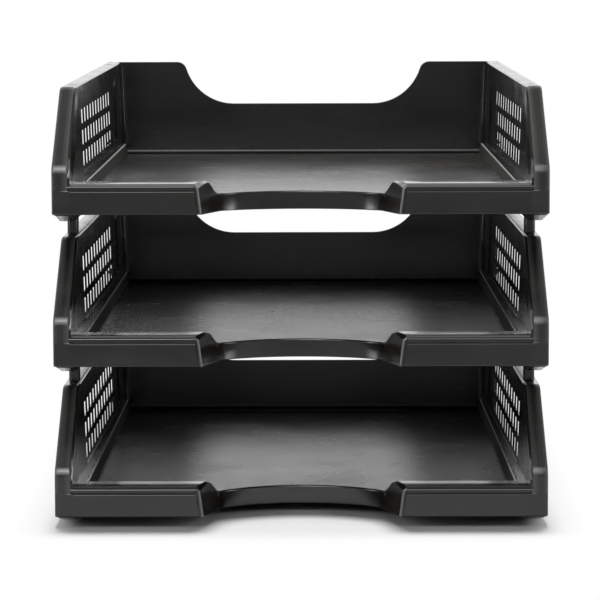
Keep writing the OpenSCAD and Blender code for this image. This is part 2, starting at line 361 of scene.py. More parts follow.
class SharedMarks:
    """Shader node groups that all finishes share."""

    @staticmethod
    def _group(name: str, control: str, outputs: list[str]) -> tuple[NodeBench, Socket, bpy.types.Node]:
        """Makes an empty group with one float input.

        Args:
            name: name of the group.
            control: name of the input.
            outputs: names of the float outputs.
        Returns: the group's bench, its input inside the group, and its output node.
        """
        tree = bpy.data.node_groups.new(name, "ShaderNodeTree")
        tree.interface.new_socket(control, in_out="INPUT", socket_type="NodeSocketFloat")
        for label in outputs:
            tree.interface.new_socket(label, in_out="OUTPUT", socket_type="NodeSocketFloat")
        start, out = tree.nodes.new("NodeGroupInput"), tree.nodes.new("NodeGroupOutput")
        return NodeBench(tree), start.outputs[control], out

    @classmethod
    def grain(cls) -> bpy.types.NodeTree:
        """Fine spark-eroded grain: small noise added to smaller noise, on object coordinates.

        Returns: a group with Size and an output Height.
        """
        bench, size, out = cls._group("moulded_grain", "Size", ["Height"])
        place = bench.add("TexCoord").outputs["Object"]
        coarse = bench.noise(place, size)
        fine = bench.noise(place, bench.math("MULTIPLY", size, 2.3))
        bench.fill(out, {"Height": bench.math("ADD", coarse, fine)})
        return bench.tree

    @classmethod
    def wear(cls) -> bpy.types.NodeTree:
        """Flow and handling marks: noise that is pressed flat along z, and sparse smudges.

        Returns: a group with Spread and outputs Flow and Smudge, both from nought to one.
        """
        bench, spread, out = cls._group("handling_marks", "Spread", ["Flow", "Smudge"])
        place = bench.add("TexCoord").outputs["Object"]
        pressed = bench.add("Mapping", {"Vector": place, "Scale": (1.0, 1.0, 2.2)}).outputs["Vector"]
        flow, blot = bench.noise(pressed, spread), bench.noise(place, 46.0, 5.0)
        bench.fill(out, {"Flow": bench.ranged(flow, (0.22, 0.78)),
                         "Smudge": bench.ranged(blot, (0.56, 0.78), smooth=True)})
        return bench.tree


@dataclass(frozen=True)
class PlasticFinish:
    """A black moulded plastic: shades, gloss, marks, grain, a painted edge highlight and matt roughness."""

    name: str
    dark: Triple = (0.0065, 0.0058, 0.005)
    light: Triple = (0.0245, 0.022, 0.02)
    # Pale colour painted on edges as a highlight, where the point value is above nought
    highlight_paint: Triple = (0.3, 0.3, 0.29)
    gloss: Pair = (0.07, 0.12)
    smudge: float = 0.02
    spread: float = 36.0
    matt: float = 0.8
    grain_size: float = 1600.0
    grain_height: float = 0.00001
    grain_share: float = 0.12
    ior: float = 1.56

    def material(self, grain: bpy.types.NodeTree, wear: bpy.types.NodeTree) -> bpy.types.Material:
        """Builds the finish as a procedural material on object coordinates.

        Args:
            grain: the shared grain group.
            wear: the shared handling marks group.
        Returns: the new material.
        """
        material = bpy.data.materials.new(self.name)
        material.use_nodes = True
        bench = NodeBench(material.node_tree)
        skin = bench.add("Group", {"Size": self.grain_size}, node_tree=grain).outputs["Height"]
        marks = bench.add("Group", {"Spread": self.spread}, node_tree=wear).outputs
        # Above nought the point value mixes a pale painted highlight into the base colour; below nought it
        # makes the surface matt
        worn = bench.add("Attribute", attribute_name="worn").outputs["Fac"]
        shade = bench.mix(marks["Flow"], (*self.dark, 1.0), (*self.light, 1.0), "RGBA")
        gloss = bench.ranged(marks["Flow"], (0.0, 1.0), self.gloss)
        dull = bench.math("MULTIPLY_ADD", marks["Smudge"], self.smudge, gloss)
        matt = bench.ranged(worn, (0.0, -1.0), (0.0, self.matt))
        bump = bench.add("Bump", {"Strength": self.grain_share, "Distance": self.grain_height,
                                  "Height": skin})
        bench.fill(bench.tree.nodes["Principled BSDF"], {
            "IOR": self.ior,
            "Base Color": bench.mix(worn, shade, (*self.highlight_paint, 1.0), "RGBA"),
            "Roughness": bench.math("ADD", dull, matt),
            "Normal": bump.outputs["Normal"]})
        return material


class Finish(Enum):
    """The finishes on the object."""

    SHELL = PlasticFinish("satin_shell", gloss=(0.11, 0.17))
    LIP = PlasticFinish("front_lip", gloss=(0.12, 0.17), grain_share=0.1, ior=1.68)
    RIM = PlasticFinish("satin_rim", gloss=(0.22, 0.28), grain_share=0.06, ior=1.68)
    BAND = PlasticFinish("recess_band", gloss=(0.14, 0.19), grain_share=0.06, ior=1.66)
    WEB = PlasticFinish("side_wall", gloss=(0.13, 0.2), grain_share=0.03)
    # The ledge edge's painted highlight is near white, so its light line shows on every tier, also under the
    # trays above
    LEDGE = PlasticFinish("side_ledge", highlight_paint=(0.8, 0.8, 0.78), gloss=(0.12, 0.18), grain_share=0.1)
    FLOOR = PlasticFinish("grained_floor", gloss=(0.22, 0.295), smudge=0.0, spread=28.0, grain_size=900.0,
                          grain_height=0.00003, grain_share=1.0, ior=1.48)
    POST = PlasticFinish("riser_post", gloss=(0.1, 0.16), grain_share=0.05)


@dataclass
class Workshop:
    """Puts shells into the scene as pieces, dressed and tied to their body.

    Edges sharper than sharp_angle, in degrees, stay crisp. Points closer than merged and slivers
    thinner than sliver, both in metres, are taken up.
    """

    materials: dict[Finish, bpy.types.Material] = field(default_factory=dict)
    count: int = 0
    sharp_angle: float = 38.0
    merged: float = 4e-6
    sliver: float = 1e-6

    def prepare(self) -> None:
        """Makes the shared node groups and the materials."""
        grain, wear = SharedMarks.grain(), SharedMarks.wear()
        self.materials = {finish: finish.value.material(grain, wear) for finish in Finish}

    def add(self, name: str, shell: Shell, tier: Tier, finish: Finish, node: str, slot: str,
            drills: Shell | None = None) -> None:
        """Makes one piece from a shell in the tray's own frame.

        Args:
            name: name of the piece.
            shell: its closed mesh, in millimetres.
            tier: the tray it belongs to, which gives its height and its body.
            finish: its finish.
            node: the CAD node it takes the place of.
            slot: name of a material slot; not used.
            drills: closed shells taken out of it, if any.
        """
        piece = self._object(name, shell, tier)
        if drills is not None:
            self._drill(piece, drills, tier)
        mesh = piece.data
        mesh.shade_smooth()
        mesh.set_sharp_from_angle(angle=radians(self.sharp_angle))
        mesh.materials.append(self.materials[finish])
        weights = piece.modifiers.new("flat_faces", "WEIGHTED_NORMAL")
        weights.keep_sharp = True
        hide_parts(node)
        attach(piece, f"{tier.label}_tier")
        self.count += 1
        LOG.info("%s: %d faces on %s", name, len(mesh.polygons), tier.label)

    def _object(self, name: str, shell: Shell, tier: Tier) -> bpy.types.Object:
        """Puts a shell into a mesh and merges its doubles.

        Args:
            name: name of the object and its mesh.
            shell: the shell, in millimetres in the tray's own frame.
            tier: the tray, which gives the height.
        Returns: the linked object.
        """
        lift = np.array([0.0, -SIZES.depth / 2, SIZES.pitch * tier.value])
        mesh = bpy.data.meshes.new(name)
        mesh.from_pydata(((shell.points + lift) * MM).tolist(), [], shell.faces)
        # Each point's painted highlight (above nought) and mattness (below nought), read by the finishes
        worn = mesh.attributes.new("worn", "FLOAT", "POINT")
        worn.data.foreach_set("value", shell.worn.astype(np.float32))
        work = bmesh.new()
        work.from_mesh(mesh)
        bmesh.ops.remove_doubles(work, verts=work.verts, dist=self.merged)
        bmesh.ops.dissolve_degenerate(work, edges=work.edges, dist=self.sliver)
        work.to_mesh(mesh)
        work.free()
        piece = bpy.data.objects.new(name, mesh)
        bpy.context.scene.collection.objects.link(piece)
        return piece

    def _drill(self, piece: bpy.types.Object, drills: Shell, tier: Tier) -> None:
        """Takes shells out of a piece and keeps the result as its mesh.

        Args:
            piece: the piece to drill.
            drills: the shells to take out.
            tier: the tray they are given for.
        """
        tool = self._object(piece.name + "_drill", drills, tier)
        cut = piece.modifiers.new("drill", "BOOLEAN")
        cut.operation, cut.solver, cut.object = "DIFFERENCE", "EXACT", tool
        graph = bpy.context.evaluated_depsgraph_get()
        result = bpy.data.meshes.new_from_object(piece.evaluated_get(graph))
        piece.modifiers.clear()
        old, piece.data = piece.data, result
        used = tool.data
        bpy.data.objects.remove(tool)
        bpy.data.meshes.remove(old)
        bpy.data.meshes.remove(used)


def tube(x: float, y: float, heights: tuple[float, ...], radii: tuple[float, ...], sides: int = 32) -> Shell:
    """A turned solid: circles of given radii at given heights round an upright axis.

    Args:
        x: place of the axis across.
        y: place of the axis back from the front.
        heights: heights of the circles.
        radii: radius of each circle.
        sides: points of each circle.
    Returns: the closed shell.
    """
    plan = spokes(np.linspace(0.0, 2 * pi, sides, endpoint=False)) * np.array(radii)[:, None, None]
    return Shell.loft(side_by_side(x + plan[..., 0], y + plan[..., 1], np.array(heights)[:, None]))


@dataclass
class SideRim:
    """The flange round a side wall's free edge, from the front foot over the slope to the back.

    The flare's two sizes are its width and depth; it starts at flare_z and is narrower behind the
    slope. The heel's radius goes by the height over the ledge. The steps are extra places along
    the path, and the painted highlight is a pale colour on the section's corners, as light lines along
    the rim's edges.
    """

    sizes: TraySizes = SIZES
    stub: float = 5.0
    foot_r: float = 0.7
    edge_r: float = 1.2
    edge_room: float = 1.5
    least_r: float = 0.02
    flare_r: Pair = (0.55, 0.8)
    stub_r: float = 0.05
    inside_r: float = 0.8
    heel_r: tuple[Pair, ...] = ((-0.5, 0.03), (0.3, 0.25))
    flare: Pair = (1.6, 3.3)
    top_flare: Pair = (0.35, 1.0)
    crown: float = 0.26
    fall: float = 0.12
    apex_r: float = 22.0
    chamfer: float = 1.0
    flare_z: Pair = (17.3, 17.65)
    least_share: float = 0.02
    narrow_y: Pair = (32.0, 60.0)
    narrow_z: float = 40.0
    apex: float = 0.47
    # Painted highlight on the section's corners: its outer edge and the edge before the flare
    wear: tuple[float, ...] = (0.12, 0.0, 0.2, 0.0, 0.0, 0.0, 0.0, 0.0)
    foot_steps: tuple[float, ...] = (0.06, 0.2, 0.4, 0.7, 1.0)
    flare_steps: tuple[float, ...] = (11.95, 12.05, 12.15, 12.25, 12.35, 12.6)

    def path(self, inset: float) -> Array:
        """The side outline with its bend and corner rounded, drawn in by an inset.

        Args:
            inset: distance inside the outline.
        Returns: points (y, z) from the front foot to the back.
        """
        s = self.sizes
        slope = np.arctan2(s.height - s.bend_z, s.slope_run)
        corners = np.array([[
            [inset, s.edge_z],
            [inset, s.bend_z - inset * tan((pi / 2 - slope) / 2)],
            [s.slope_run + inset * tan(slope / 2), s.height - inset],
            [s.side_end, s.height - inset],
        ]])
        steps = 10
        radii = np.array([[0.001, s.bend_r - inset, s.corner_r - inset, 0.001]])
        return rounded(corners, radii, steps)[0][steps:-steps]

    def shell(self) -> Shell:
        """Carries an L section along the path: flange, flared inner edge and a stub of the wall.

        At each place the section lies in the plane of x and the path's inward normal; the flare's
        radius and the edges' roundings change along the path.

        Returns: the right-hand rim.
        """
        s = self.sizes
        base, inner = self.path(0.0), self.path(1.0)
        run = np.concatenate([[0.0], np.cumsum(np.linalg.norm(np.diff(base, axis=0), axis=1))])
        places = np.union1d(run, [*self.foot_steps, *self.flare_steps])
        normal = np.stack([np.interp(places, run, (inner - base)[:, k]) for k in (0, 1)], axis=-1)
        base = np.stack([np.interp(places, run, base[:, k]) for k in (0, 1)], axis=-1)

        def at(depth: float) -> Array:
            """Args: depth, along the normal. Returns: y and z there."""
            return (base + depth * normal).T

        y, z = at(0.0)
        outer = s.outer(y, z)
        draw = end_rounding(places, self.foot_r)
        share = np.interp(z, self.flare_z, [self.least_share, 1.0])
        cant = np.maximum(draw, self.chamfer - places)
        wide, deep = (share * np.where(z < self.narrow_z, low, np.interp(y, self.narrow_y, [low, high]))
                      for low, high in zip(self.flare, self.top_flare))
        inner = outer - s.web_edge(y) + HAIR
        sink = self.fall * share
        stub_x, wall_x = (outer - s.web_edge(at(depth)[0]) for depth in (self.stub, s.wall))
        corners = sections(
            (cant, draw + self.crown),
            ((draw + inner - wide) * self.apex, draw),
            (inner - wide, draw + sink),
            (outer - s.web_edge(at(self.flare[1])[0]) + HAIR, draw + deep),
            (stub_x + HAIR, self.stub),
            (stub_x - s.wall - HAIR, self.stub),
            (wall_x - s.wall - HAIR, s.wall),
            (outer - s.outer(*at(s.wall)) + cant, s.wall))
        edge_r = np.minimum(self.edge_r, self.edge_room - draw)
        upper_r = self.least_r + self.flare_r[0] * np.minimum(share, deep / self.flare[0])
        lower_r = self.least_r + self.flare_r[1] * deep
        radii = side_by_side(edge_r, self.apex_r, upper_r, lower_r, self.stub_r, self.stub_r, self.inside_r,
                             read_off(self.heel_r, z - s.ledge_z))
        steps = 6
        ring = rounded(corners, radii, steps)
        spot = base[:, None] + ring[..., 1:] * normal[:, None]
        x = outer[:, None] - ring[..., 0]
        worn = np.repeat(self.wear, steps + 1)
        return Shell.loft(np.concatenate([x[..., None], spot], axis=-1), share[:, None] * worn)


@dataclass
class SideWeb:
    """The side wall proper: a thin sheet with a sunk field and three rows of windows.

    The slope lines are distances behind the sloping front edge; the sheet bends out to the rim
    between the two distances of bend.
    """

    sizes: TraySizes = SIZES
    field_y: Pair = (62.0, 281.0)
    field_z: Pair = (22.4, 64.2)
    sunk: float = 0.55
    shoulder: float = 0.6
    columns: int = 11
    first: float = 68.7
    pitch: float = 16.48
    bar: float = 2.4
    foot_z: float = 18.5
    top_lines: Pair = (66.0, 68.2)
    slope_lines: tuple[float, ...] = (0.0, 4.0, 9.0, 15.0)
    bend: Pair = (3.0, 15.0)
    top_gap: float = 1.1
    near: float = 0.01
    rows: tuple[Pair, ...] = ((25.5, 33.07), (36.67, 44.23), (47.83, 55.4))

    def shell(self) -> Shell:
        """A lattice of y and z lines on both faces of the wall, open at the windows.

        The sheet's half thickness at a crossing is one, less the sunk depth inside the field; the
        first lines follow the slope, where the sheet bends out to the rim by a smooth step.

        Returns: the right-hand wall.
        """
        s = self.sizes
        starts = self.first + self.pitch * np.arange(self.columns) + self.bar / 2
        ends = starts + self.pitch - self.bar
        inset = (self.field_y[0] + self.shoulder, self.field_y[1] - self.shoulder)
        ys = np.concatenate([self.slope_lines, [self.field_y[0], inset[0]],
                             side_by_side(starts, ends).ravel(), [inset[1], self.field_y[1], s.side_end]])
        low, high = self.field_z
        floor, roof = low + self.shoulder, high - self.shoulder
        zs = np.concatenate([[self.foot_z, low, floor], np.ravel(self.rows), [roof, high, *self.top_lines]])
        grid_y, grid_z = np.meshgrid(ys, zs, indexing="ij")
        edge = SideRim().path(1.0)
        slope = slice(len(self.slope_lines))
        behind = grid_y[slope].copy()
        grid_y[slope] += np.interp(np.minimum(zs, s.height - self.top_gap), edge[:, 1], edge[:, 0])
        inside = (grid_y > inset[0] - self.near) & (grid_y < inset[1] + self.near)
        inside &= (grid_z > floor - self.near) & (grid_z < roof + self.near)
        thin = np.where(inside, self.sunk, 0.0)
        face = s.web(grid_y, grid_z)
        fade = np.interp(behind, self.bend, [1.0, 0.0])
        face[slope] += (s.web_edge(grid_y[slope]) - face[slope]) * fade * fade * (3.0 - 2.0 * fade)
        sheets = np.stack([face + thin, face + s.wall - thin])
        points = side_by_side(sheets, grid_y, grid_z).reshape(-1, 3)
        column = np.isin(ys[:-1], starts)
        row = np.isin(zs[:-1], np.array(self.rows)[:, 0])
        solid = ~(column[:, None] & row[None, :])
        return Shell(points, self._faces(solid), np.zeros(len(points)))

    @staticmethod
    def _faces(solid: Array) -> list[list[int]]:
        """Quads of a double lattice: both faces, and a wall wherever a filled cell meets a gap.

        Args:
            solid: which cells are filled, as (cells along y, cells along z).
        Returns: the quads.
        """
        wide, tall = solid.shape
        layer = (wide + 1) * (tall + 1)
        number = np.arange(layer).reshape(wide + 1, tall + 1)
        i, j = np.nonzero(solid)
        cell = np.stack([number[i, j], number[i + 1, j], number[i + 1, j + 1], number[i, j + 1]], -1)
        framed = np.pad(solid, 1)
        along = framed[:-1, 1:-1] != framed[1:, 1:-1]
        up = framed[1:-1, :-1] != framed[1:-1, 1:]
        i, j = np.nonzero(along)
        near, far = number[i, j], number[i, j + 1]
        stand = np.stack([near, far, far + layer, near + layer], -1)
        stand = np.where(framed[i, j + 1][:, None], stand, stand[:, ::-1])
        i, j = np.nonzero(up)
        near, far = number[i, j], number[i + 1, j]
        lie = np.stack([near, far, far + layer, near + layer], -1)
        lie = np.where(framed[i + 1, j + 1][:, None], lie, lie[:, ::-1])
        return np.concatenate([cell[:, ::-1], cell + layer, stand, lie]).tolist()


@dataclass
class SideBase:
    """The foot of a side: skirt, outer shelf, ledge and the slope down to the floor.

    The radii are those of the section's corners, from the skirt's outer foot over the ledge and
    down the slope, then back underneath.
    """

    sizes: TraySizes = SIZES
    run: Pair = (1.92, 325.05)
    toe: float = 0.6
    sole: float = 1.6
    slope_wall: float = 1.4
    radii: tuple[float, ...] = (0.6, 0.5, 0.9, 0.02, 0.02, 0.5, 0.5, 0.8, 0.3)

    def shell(self) -> Shell:
        """Carries a closed section along the side; its inner half follows the ledge's line.

        Returns: the right-hand base.
        """
        s = self.sizes
        y = np.linspace(*self.run, 5)
        outer, ledge = s.half(y), s.ledge(y)
        inner, foot = outer - s.wall, ledge - s.step_run
        under, low = s.ledge_z - s.wall, s.floor_z - self.sole
        corners = sections(
            (outer, s.edge_z), (outer, s.ledge_z), (ledge, s.ledge_z), (foot, s.floor_z),
            (foot - self.toe, low), (foot + self.sole, low), (ledge + self.slope_wall, under),
            (inner, under), (inner, s.edge_z))
        ring = rounded(corners, np.array([self.radii]), 5)
        # Six points to a corner: a pale highlight is painted on the ledge's edge, and from there the slope
        # is matt
        worn = np.zeros(ring.shape[1])
        worn[13:17] = 1.0
        worn[17:24] = -1.0
        return Shell.loft(side_by_side(ring[..., 0], y[:, None], ring[..., 1]), worn)


@dataclass
class Floor:
    """The floor plate, cut to the lip and the finger recess, with a fillet up the back wall."""

    sizes: TraySizes = SIZES
    half: float = 111.6
    recess_half: float = 43.2
    front: float = 27.0
    fillet: float = 2.4
    fillet_top: float = 3.6
    tuck: float = 0.7
    recess_gap: float = 1.0
    root: float = 1.0
    overlap: float = 0.05

    def shell(self) -> Shell:
        """Carries a section of y and z across the tray; sides follow the slopes' foot.

        A place across is a share of the half width at its depth, and the front edge keeps the
        recess gap inside the recess wall.

        Returns: the floor.
        """
        s = self.sizes
        arc_steps, corner_steps = np.linspace(0.0, 0.36, 19), np.linspace(0.365, 0.41, 16)
        share = np.concatenate([arc_steps, corner_steps, [0.46, 0.6, 0.8, 1.0]])
        share = np.concatenate([-share[:0:-1], share])
        across = np.abs(share) * self.half
        radius = s.recess_r + self.recess_gap
        arc = np.sqrt(np.maximum(radius ** 2 - across ** 2, 0.0)) - (s.recess_r - s.recess_depth)
        front = np.where(across < self.recess_half, arc, self.front)
        top, low = s.floor_z, s.floor_z - s.wall
        back, rise = s.depth - s.wall - self.overlap, top + self.fillet_top
        end = back + self.root
        corners = sections((front, top), (back, top), (back, rise), (end, rise), (end, low), (front, low))
        ring = rounded(corners, np.array([[0.02, self.fillet, 0.05, 0.05, 0.05, 0.02]]), 6)
        half = s.ledge(ring[..., 0]) - s.step_run + self.tuck
        return Shell.loft(side_by_side(share[:, None] * half, ring[..., 0], ring[..., 1]))


@dataclass
class FrontLip:
    """Half of the front lip: flat face, bead between two grooves, bevel, top and back slope.

    The section holds y, z and a radius for each corner. Over y, the ends give x where the lip
    runs into the rim. Over z, the tucks give how far into the recess wall it starts.
    """

    sizes: TraySizes = SIZES
    section: tuple[Triple, ...] = (
        (0.0, 5.3, 0.7), (0.0, 17.0, 0.4), (0.85, 17.45, 0.08), (0.35, 18.15, 0.5), (0.35, 19.8, 0.9),
        (1.4, 20.35, 0.5), (1.95, 19.5, 0.1), (3.2, 19.4, 0.1), (3.5, 20.95, 0.2), (4.3, 21.06, 0.3),
        (7.6, 21.233, 70.0), (10.6, 21.305, 70.0), (18.0, 21.311, 1.4), (30.2, 12.92, 0.05),
        (27.6, 12.0, 0.05), (16.6, 19.2, 3.0), (5.2, 18.6, 0.5), (2.0, 16.9, 0.5), (2.0, 5.3, 0.4))
    ends: tuple[Pair, ...] = (
        (0.0, 118.25), (0.12, 118.3), (0.25, 120.0), (3.3, 118.5), (5.0, 118.4), (16.0, 117.2),
        (30.0, 116.4))
    tucks: tuple[Pair, ...] = ((20.6, 1.98), (20.95, 2.35))

    def shell(self) -> Shell:
        """Carries the section straight across from the recess wall to the side rim.

        Each point of the section runs from the far side of the recess wall at its depth to the rim.

        Returns: the right-hand half of the lip.
        """
        s = self.sizes
        table = np.array(self.section)
        y, z = rounded(table[None, :, :2], table[None, :, 2], 6)[0].T
        start, stop = s.cheek(y, z) + read_off(self.tucks, z), read_off(self.ends, y)
        share = np.linspace(0.0, 1.0, 4)[:, None]
        return Shell.loft(side_by_side(start * (1 - share) + stop * share, y, z))


@dataclass
class RecessBand:
    """The wall round the finger recess in the front lip.

    Over y, the cants give how much lower the top's inner edge is, the edge_r that edge's radius,
    the leans what share of the cheek's lean is left, and mouth_wear how strongly a
    highlight is painted on the mouth's rounded edge.
    """

    sizes: TraySizes = SIZES
    corner_r: float = 9.0
    mouth_r: float = 1.3
    proud: float = 0.03
    drop: float = 1.5
    drop_run: float = 53.0
    room: float = 0.47
    edge_r: tuple[Pair, ...] = ((18.0, 0.3), (33.0, 0.9))
    cants: tuple[Pair, ...] = ((0.0, 1.4), (2.0, 2.0), (12.0, 0.85), (14.5, 0.7), (20.0, 0.45), (33.0, 0.1))
    leans: tuple[Pair, ...] = ((0.0, 1.0), (28.0, 0.8), (44.0, 0.0))
    mouth_wear: tuple[Pair, ...] = ((0.0, 0.0), (0.05, 0.25), (0.3, 0.5), (0.9, 0.25), (1.4, 0.0))

    def path(self) -> tuple[Array, Array]:
        """Cheek, corner arc and back arc of the recess, joined at their tangents.

        The corner arc's centre lies its radius inside the cheek's line and inside the back arc.

        Returns: points (x, y) from the left mouth to the right one, and normals out of the recess.
        """
        s, r = self.sizes, self.corner_r
        hub = np.array([0.0, s.recess_depth - s.recess_r])
        along = np.array([-s.cheek_slope, 1.0]) / sqrt(1 + s.cheek_slope ** 2)
        out = np.array([along[1], -along[0]])
        start = np.array([s.recess_half, 0.0]) - out * r
        gap = start - hub
        b, c = gap @ along, gap @ gap - (s.recess_r - r) ** 2
        centre = start + along * (-b + sqrt(b * b - c))
        first, last = np.arctan2(out[1], out[0]), np.arctan2(*(centre - hub)[::-1])
        corner = spokes(np.linspace(first, last, 13))
        back = spokes(np.linspace(last, pi / 2, 26)[1:])
        cheek = np.concatenate([[0.0, 0.05, 0.15, 0.35, 0.65, 1.0, 1.3],
                                np.linspace(1.7, (centre - start) @ along, 26)[:-1]])
        points = np.concatenate([start + out * r + cheek[:, None] * along, centre + r * corner,
                                 hub + s.recess_r * back])
        normals = np.concatenate([np.broadcast_to(out, (len(cheek), 2)), corner, back])
        flip = np.array([-1.0, 1.0])
        return (np.concatenate([points * flip, points[-2::-1]]),
                np.concatenate([normals * flip, normals[-2::-1]]))

    def shell(self) -> Shell:
        """Carries a rounded upright section along the path; its top follows lip and floor.

        Returns: the whole band.
        """
        s = self.sizes
        spot, normal = self.path()
        y = spot[:, 1]
        draw = end_rounding(y, self.mouth_r)
        top = s.lip_height(y) + self.proud
        low = s.edge_z - self.drop * y / self.drop_run + 0.3 * draw
        corners = sections((draw, low), (draw, top - read_off(self.cants, y)), (s.wall, top), (s.wall, low))
        room = (s.wall - draw) * self.room
        limits = (0.5, read_off(self.edge_r, y), 0.12, 0.4)
        radii = side_by_side(*(np.minimum(limit, room) for limit in limits))
        steps = 6
        ring = rounded(corners, radii, steps)
        lean = s.cheek_lean * read_off(self.leans, y)[:, None] * (ring[..., 1] - s.cheek_z)
        plan = spot[:, None] + (ring[..., 0] + lean)[..., None] * normal[:, None]
        # The highlight is painted only on the face toward the recess, at its mouth
        facing = np.arange(ring.shape[1]) < 2 * (steps + 1)
        return Shell.loft(np.concatenate([plan, ring[..., 1:]], axis=-1),
                          read_off(self.mouth_wear, y)[:, None] * facing)


@dataclass
class BackWall:
    """The back wall with its wide notch, and the fillets to the side walls.

    The plate's ends are drawn in by the relief, from a little over the ledge up to the heights of
    relief_top, where they come out again. The notch holds x, z and a radius for each corner.
    """

    sizes: TraySizes = SIZES
    back_r: float = 1.4
    front_r: float = 0.35
    end_r: float = 1.6
    relief: float = 2.7
    relief_r: float = 0.5
    relief_rise: float = 2.4
    relief_top: Pair = (63.2, 65.6)
    fillet: float = 2.4
    fillet_z: tuple[float, ...] = (19.0, 19.6, 30.0, 45.0, 60.0, 67.4)
    overlap: float = 0.02
    root: float = 0.5
    notch: tuple[Triple, ...] = ((71.94, 69.0, 6.0), (64.0, 43.8, 30.0))

    def plate(self) -> Shell:
        """Stacks drawn-in copies of the outline through the wall's thickness, edges rounded.

        A copy's inset at a depth t is that of a quarter circle at either face.

        Returns: the plate.
        """
        s = self.sizes
        half = s.back_width / 2
        inner, upper = half - self.relief, half - s.draw_in
        rise, (fall, high) = s.ledge_z + self.relief_rise, self.relief_top
        right = [(half, s.edge_z, self.end_r), (half, s.ledge_z, self.end_r), (inner, rise, self.relief_r),
                 (inner, fall, self.relief_r), (upper, high, self.end_r), (upper, s.height, self.end_r),
                 *self.notch]
        table = np.array(right + [(-x, z, r) for x, z, r in right[::-1]])
        line = rounded(table[None, :, :2], table[None, :, 2], 12)[0]
        keep = np.linalg.norm(line - np.roll(line, 1, axis=0), axis=1) > 1e-3
        line = line[keep]
        edge = np.roll(line, -1, axis=0) - line
        edge /= np.linalg.norm(edge, axis=1, keepdims=True)
        inward = np.stack([-edge[:, 1], edge[:, 0]], -1)
        mean = inward + np.roll(inward, 1, axis=0)
        mean /= (mean * inward).sum(-1, keepdims=True)
        bow = np.linspace(0.0, pi / 2, 6)
        front, back = s.depth - s.wall, s.depth
        depth = np.concatenate([front + self.front_r * (1 - np.cos(bow)),
                                back - self.back_r * (1 - np.sin(bow))])
        inset = np.concatenate([self.front_r * (1 - np.sin(bow)), self.back_r * (1 - np.cos(bow))])
        plan = line[None] + inset[:, None, None] * mean[None]
        return Shell.loft(side_by_side(plan[..., 0], depth[:, None], plan[..., 1]))

    def corner(self) -> Shell:
        """A concave quarter fillet carried up the corner of side wall and back wall.

        Returns: the right-hand fillet.
        """
        s = self.sizes
        z, r, root = np.array(self.fillet_z), self.fillet, self.root
        back = s.depth - s.wall - self.overlap
        wall = s.web(back, z) - self.overlap
        arc = r * (spokes(np.linspace(0.0, pi / 2, 9)) - 1.0)
        ring = np.concatenate([[[root, -r]], arc, [[-r, root], [root, root]]])
        return Shell.loft(side_by_side(wall[:, None] + ring[:, 0], back + ring[:, 1], z[:, None]))


@dataclass
class Undercarriage:
    """Pads, socket bosses under the skirt and peg bosses under the rim.

    The pad's section holds x from the outer face, and z. Heights and radii of the bosses and of
    the holes in them are those of turned solids.
    """

    sizes: TraySizes = SIZES
    spans: tuple[Pair, ...] = ((24.0, 74.0), (253.0, 303.0))
    ramps: Pair = (21.0, 2.0)
    ramp_rise: float = 4.6
    pad: tuple[Pair, ...] = ((-0.1, 7.3), (-0.1, 5.3), (-1.7, 0.0), (-9.8, 0.0), (-10.8, 7.3))
    pad_radii: tuple[float, ...] = (0.1, 0.1, 0.6, 0.6, 0.1)
    end_r: float = 0.8
    cup_z: tuple[float, ...] = (67.5, 61.9, 61.5, 61.5)
    cup_r: tuple[float, ...] = (2.8, 2.8, 2.5, 0.05)
    sleeve_z: Pair = (4.6, 18.2)
    sleeve_r: Pair = (3.0, 3.0)
    hole_z: Pair = (63.5, 75.0)
    hole_r: Pair = (1.9, 1.9)
    socket_z: Pair = (-2.0, 5.5)
    socket_r: Pair = (2.1, 2.1)

    def pads(self) -> Shell:
        """Carries a slanted section along each pad, drawn in at both ends.

        Returns: both right-hand pads.
        """
        front, back = (self._pad(*span, ramp) for span, ramp in zip(self.spans, self.ramps))
        return front + back

    def _pad(self, first: float, last: float, ramp: float) -> Shell:
        """Carries the section along one pad: its sole rises along the ramp and at the end's rounding.

        Args:
            first: y where the sole starts.
            last: y of the pad's end.
            ramp: length of the ramp in front of the sole.
        Returns: the right-hand pad.
        """
        pull, lift = np.array([0.0, -0.3, -0.6, 1.0, 1.0]), np.array([0.0, 0.0, 1.0, 1.0, 0.0])
        reach = np.array([0.0, 0.08, 0.25, 0.5, 0.8])
        y = np.concatenate([first - ramp + reach[:3], first + 4 * reach, last - reach[::-1]])
        rise = np.interp(y, [first - ramp, first], [self.ramp_rise, 0.0])
        rise += end_rounding(last - y, self.end_r)
        draw = end_rounding(np.minimum(y - first + ramp, last - y), self.end_r)
        x, z = np.array(self.pad).T
        corners = side_by_side(x + pull * draw[:, None], z + lift * rise[:, None])
        ring = rounded(corners, np.array([self.pad_radii]), 4)
        outer = self.sizes.half(y)[:, None]
        return Shell.loft(side_by_side(outer + ring[..., 0], y[:, None], ring[..., 1]))

    def bosses(self) -> Shell:
        """Returns: the right-hand cups under the rim and sleeves in the skirt that take the pegs."""
        return self.turned(self.cup_z, self.cup_r) + self.turned(self.sleeve_z, self.sleeve_r)

    def turned(self, heights: tuple[float, ...], radii: tuple[float, ...]) -> Shell:
        """Args: heights and radii of a turned solid. Returns: it on both right-hand risers' axes."""
        s = self.sizes
        front, back = (tube(*s.riser_spot(y), heights, radii) for y in (s.riser_front, s.riser_back))
        return front + back


